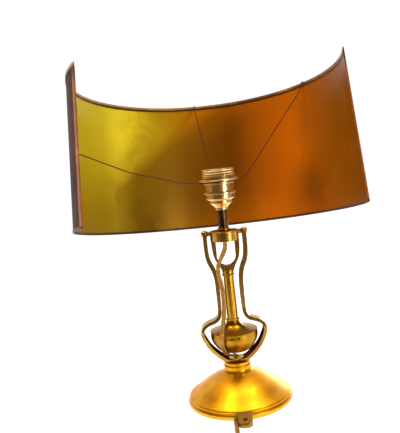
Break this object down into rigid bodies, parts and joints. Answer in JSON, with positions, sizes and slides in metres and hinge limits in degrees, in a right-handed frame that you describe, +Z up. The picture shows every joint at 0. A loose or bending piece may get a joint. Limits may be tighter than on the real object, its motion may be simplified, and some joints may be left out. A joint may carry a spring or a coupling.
{
  "type": "bouillotte lamp",
  "caption": "Brass gimbal lamp: domed weighted base, swivelling lyre-shaped yoke, bowl-weighted pendulum with lampholder, and a half-round screen shade on wires",
  "frame": {"origin": "middle of the base's underside, on the table and on the yoke's swivel axis", "axes": "+X to the right of someone facing the lamp, along the gimbal pivots; +Y to the back, where the shade is; +Z up"},
  "size_m": [0.2963, 0.3548, 0.3519],
  "materials": {
    "brass": "polished, aged",
    "brass_bright": "polished",
    "brass_dark": "darkened",
    "steel_screw": "plain",
    "iron": "as cast",
    "lead": "cast lead",
    "baize": "felt",
    "steatite": "glazed ceramic",
    "wire": "lacquered brown",
    "shade_lining": "satin gold lining on dark card",
    "shade_tape": "rubbed gold tape",
    "flex": "clear over copper strands",
    "plug_plastic": "moulded"
  },
  "bodies": {
    "base": {"base_shell": "brass", "hanging_lug": "brass", "base_ballast": "iron", "baize_pad": "baize", "stud_sleeve": "brass", "swivel_washer": "brass_dark", "cord_saddle": "brass", "saddle_screws": "steel_screw", "cord_inner": "flex", "cord_lead": "flex", "cord_coil": "flex", "cord_tail": "flex", "plug_body": "plug_plastic", "plug_pins": "steel_screw", "plug_sleeve": "plug_plastic"},
    "yoke": {"swivel_stud": "brass", "stud_nut": "brass", "stud_washer": "brass", "yoke_foot": "brass", "yoke_strap": "brass", "pivot_screws": "brass_bright", "pivot_spacers": "brass", "cord_upper": "flex"},
    "pendulum": {"stirrup": "brass", "column": "brass", "column_foot": "brass", "bowl_cover": "brass", "bowl_cup": "brass", "bowl_weight": "lead", "bowl_screws": "brass_dark", "tie_rod": "steel_screw", "stem": "brass_dark", "ring_nut": "brass", "holder_cap": "brass_bright", "holder_body": "brass_bright", "holder_insert": "steatite", "screw_shell": "brass", "centre_contact": "brass", "contact_rivet": "brass", "terminal_screws": "brass", "shade_ring_lower": "brass_bright", "shade_ring_upper": "brass_bright", "cord_stem": "flex"},
    "shade": {"carrier_ring": "brass_dark", "wire_left": "wire", "wire_back": "wire", "wire_right": "wire", "shade_skin": "shade_lining", "shade_top_binding": "shade_tape", "shade_bottom_binding": "shade_tape", "shade_left_binding": "shade_tape", "shade_right_binding": "shade_tape"}
  },
  "joints": [
    {"name": "yoke_swivel", "type": "hinge", "parent": "base", "child": "yoke", "pos_m": [0, 0, 0.0392], "axis": [0, 0, 1], "range_deg": [-170, 170]},
    {"name": "pendulum_swing", "type": "hinge", "parent": "yoke", "child": "pendulum", "pos_m": [0, 0, 0.1751], "axis": [1, 0, 0], "range_deg": [-12, 90], "deforming": ["cord_upper"]},
    {"name": "shade_turn", "type": "hinge", "parent": "pendulum", "child": "shade", "pos_m": [0, 0, 0.2277], "axis": [0, 0, 1], "range_deg": [-45, 45]}
  ]
}
